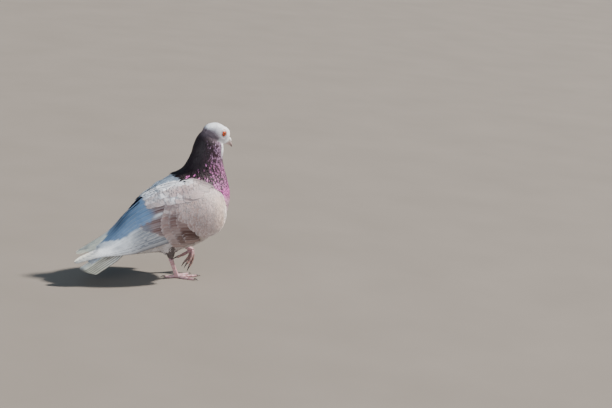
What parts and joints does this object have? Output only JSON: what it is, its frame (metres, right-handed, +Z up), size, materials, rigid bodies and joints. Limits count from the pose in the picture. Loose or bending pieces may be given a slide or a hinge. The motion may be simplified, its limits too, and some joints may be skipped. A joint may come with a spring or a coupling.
{
  "type": "pigeon",
  "caption": "Life-size feral pigeon in mid-stride: standing on its right foot, left foot lifted, body sloping to the tail, head turned left and down.",
  "frame": {"origin": "under the pad of the standing (right) foot, on the floor", "axes": "+X forward along the body's heading, +Y to the bird's left, +Z up"},
  "size_m": [0.2403, 0.1104, 0.2289],
  "materials": {
    "head_feathers": "soft short feathers, pale grey-white",
    "neck_feathers": "feathers with a purple and magenta sheen over near black",
    "body_feathers": "soft contour feathers, pale mauve-grey shading to pinkish beige",
    "covert_feathers": "smooth wing coverts, pale beige-mauve with reddish-brown patches",
    "secondary_feathers": "firm quills, brown-mauve with pale edges",
    "primary_feathers": "firm white quills with thin grey edges",
    "tail_feathers": "firm cream-white quills",
    "thigh_feathers": "short downy feathers, grey-brown",
    "leg_skin": "pink scaly skin",
    "claw": "dark horn",
    "bill": "pale horn with a darker cutting edge",
    "cere": "chalky white swollen skin",
    "eye": "wet glossy orange iris with a black pupil"
  },
  "bodies": {
    "root": {"head": "head_feathers", "neck": "neck_feathers", "trunk": "body_feathers", "tail": "tail_feathers", "eye_left": "eye", "eye_right": "eye", "bill_upper": "bill", "bill_lower": "bill", "cere": "cere", "wing_left_coverts": "covert_feathers", "wing_left_secondaries": "secondary_feathers", "wing_left_primaries": "primary_feathers", "leg_left_thigh": "thigh_feathers", "leg_left_tarsus": "leg_skin", "leg_left_toe_hallux": "leg_skin", "leg_left_claw_hallux": "claw", "leg_left_toe_inner": "leg_skin", "leg_left_claw_inner": "claw", "leg_left_toe_middle": "leg_skin", "leg_left_claw_middle": "claw", "leg_left_toe_outer": "leg_skin", "leg_left_claw_outer": "claw", "wing_right_coverts": "covert_feathers", "wing_right_secondaries": "secondary_feathers", "wing_right_primaries": "primary_feathers", "leg_right_thigh": "thigh_feathers", "leg_right_tarsus": "leg_skin", "leg_right_toe_hallux": "leg_skin", "leg_right_claw_hallux": "claw", "leg_right_toe_inner": "leg_skin", "leg_right_claw_inner": "claw", "leg_right_toe_middle": "leg_skin", "leg_right_claw_middle": "claw", "leg_right_toe_outer": "leg_skin", "leg_right_claw_outer": "claw"}
  },
  "joints": []
}
